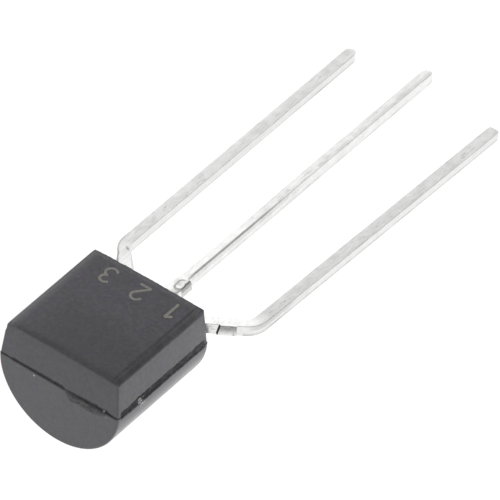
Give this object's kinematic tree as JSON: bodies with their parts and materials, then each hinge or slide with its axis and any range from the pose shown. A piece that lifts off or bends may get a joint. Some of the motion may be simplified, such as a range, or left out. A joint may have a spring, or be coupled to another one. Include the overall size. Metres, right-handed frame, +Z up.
{
  "type": "transistor",
  "caption": "Small-signal transistor in a D-shaped moulded plastic body with a flat face and formed tinned leads, lying flat side up.",
  "frame": {"origin": "middle of the bounding box's base, on the surface that the part lies on", "axes": "+X across the leads, towards the collector lead; +Y along the part, from the moulded body to the lead tips; +Z up. The part lies with its marked flat up, on the rim of its round back and on its three lead tips, so the body leans 9.0 degrees down towards the tips."},
  "size_m": [0.0066, 0.0204, 0.0045],
  "materials": {
    "moulding_compound": "matte black epoxy moulding compound",
    "tinned_lead": "bright tin plating, lightly scratched",
    "silicon": "polished silicon",
    "solder": "die attach solder",
    "bond_wire": "gold bond wire"
  },
  "bodies": {
    "root": {"epoxy_body": "moulding_compound", "collector_lead": "tinned_lead", "base_lead": "tinned_lead", "emitter_lead": "tinned_lead", "silicon_die": "silicon", "die_attach": "solder", "base_bond_wire": "bond_wire", "emitter_bond_wire": "bond_wire"}
  },
  "joints": []
}
